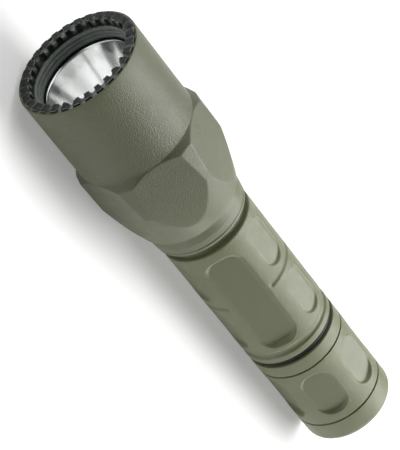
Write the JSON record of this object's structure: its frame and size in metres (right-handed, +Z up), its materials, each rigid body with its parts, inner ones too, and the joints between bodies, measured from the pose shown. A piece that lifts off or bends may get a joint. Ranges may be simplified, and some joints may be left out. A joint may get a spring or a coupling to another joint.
{
  "type": "tactical flashlight",
  "caption": "Compact hand-held tactical flashlight with a wide head, crenellated bezel, hexagonal anti-roll collar, ribbed grip and a screw-on tailcap with a push button.",
  "frame": {"origin": "on the light's axis, midway between the bezel's front face and the tail rim", "axes": "+X along the beam, out of the lens; +Z up with the light lying on one flat of its collar; +Y to the left when looking along the beam"},
  "size_m": [0.132, 0.0344, 0.032],
  "materials": {
    "olive_head_coating": "satin pebbled hard coating on aluminium, olive",
    "olive_polymer": "matte glass-filled nylon, olive",
    "olive_polymer_cap": "matte glass-filled nylon, olive",
    "black_anodised": "semi-gloss black anodised aluminium",
    "black_rubber": "smooth nitrile rubber",
    "boot_rubber": "matte silicone rubber",
    "lens_glass": "clear coated window",
    "mirror_reflector": "polished vacuum-metallised aluminium",
    "led_dome": "clear silicone dome",
    "led_package": "phosphor-coated ceramic package",
    "white_plastic": "moulded white plastic",
    "board_aluminium": "white-masked metal-core board",
    "pill_brass": "turned brass",
    "wire_insulation": "silicone wire insulation",
    "black_component": "moulded electronic component",
    "green_board": "solder-masked glass-epoxy board",
    "gold_contact": "gold-plated spring bronze",
    "plain_aluminium": "turned bare aluminium",
    "cell_wrap": "shrink-wrapped lithium cell, plain label",
    "black_nylon": "moulded black nylon",
    "spring_steel": "bright spring steel"
  },
  "bodies": {
    "light": {"head_shell": "olive_head_coating", "bezel_ring": "black_anodised", "lens_seal": "black_rubber", "lens": "lens_glass", "reflector": "mirror_reflector", "led_dome": "led_dome", "led_package": "led_package", "led_centering_ring": "white_plastic", "led_board": "board_aluminium", "heat_sink": "pill_brass", "led_wires": "wire_insulation", "driver_components": "black_component", "driver_board": "green_board", "driver_retaining_ring": "pill_brass", "driver_spring": "gold_contact", "head_oring": "black_rubber", "body_tube": "olive_polymer", "body_liner": "plain_aluminium", "battery_front": "cell_wrap", "battery_rear": "cell_wrap", "tail_oring": "black_rubber"},
    "tail_carrier": {"tail_spring": "gold_contact", "tail_contact_disc": "gold_contact"},
    "tailcap": {"tailcap_shell": "olive_polymer_cap", "switch_retaining_ring": "plain_aluminium", "switch_housing": "black_nylon", "switch_return_spring": "spring_steel", "boot_washer": "spring_steel", "switch_boot": "boot_rubber"},
    "button": {"switch_plunger": "white_plastic", "plunger_contact_pin": "gold_contact"}
  },
  "joints": [
    {"name": "tailcap_travel", "type": "slide", "parent": "light", "child": "tail_carrier", "axis": [-1, 0, 0], "range_m": [0, 0.00625], "deforming": ["tail_spring"]},
    {"name": "tailcap_turn", "type": "hinge", "parent": "tail_carrier", "child": "tailcap", "pos_m": [0, 0, 0], "axis": [-1, 0, 0], "range_deg": [0, 1801]},
    {"name": "button_press", "type": "slide", "parent": "tailcap", "child": "button", "axis": [1, 0, 0], "range_m": [0, 0.002], "stiffness_N_per_m": 1500, "springref_m": -0.001, "deforming": ["switch_boot", "switch_return_spring"]}
  ],
  "couplings": [
    {"joint": "tailcap_turn", "follows": "tailcap_travel", "rad_per_m": 5026.5}
  ]
}
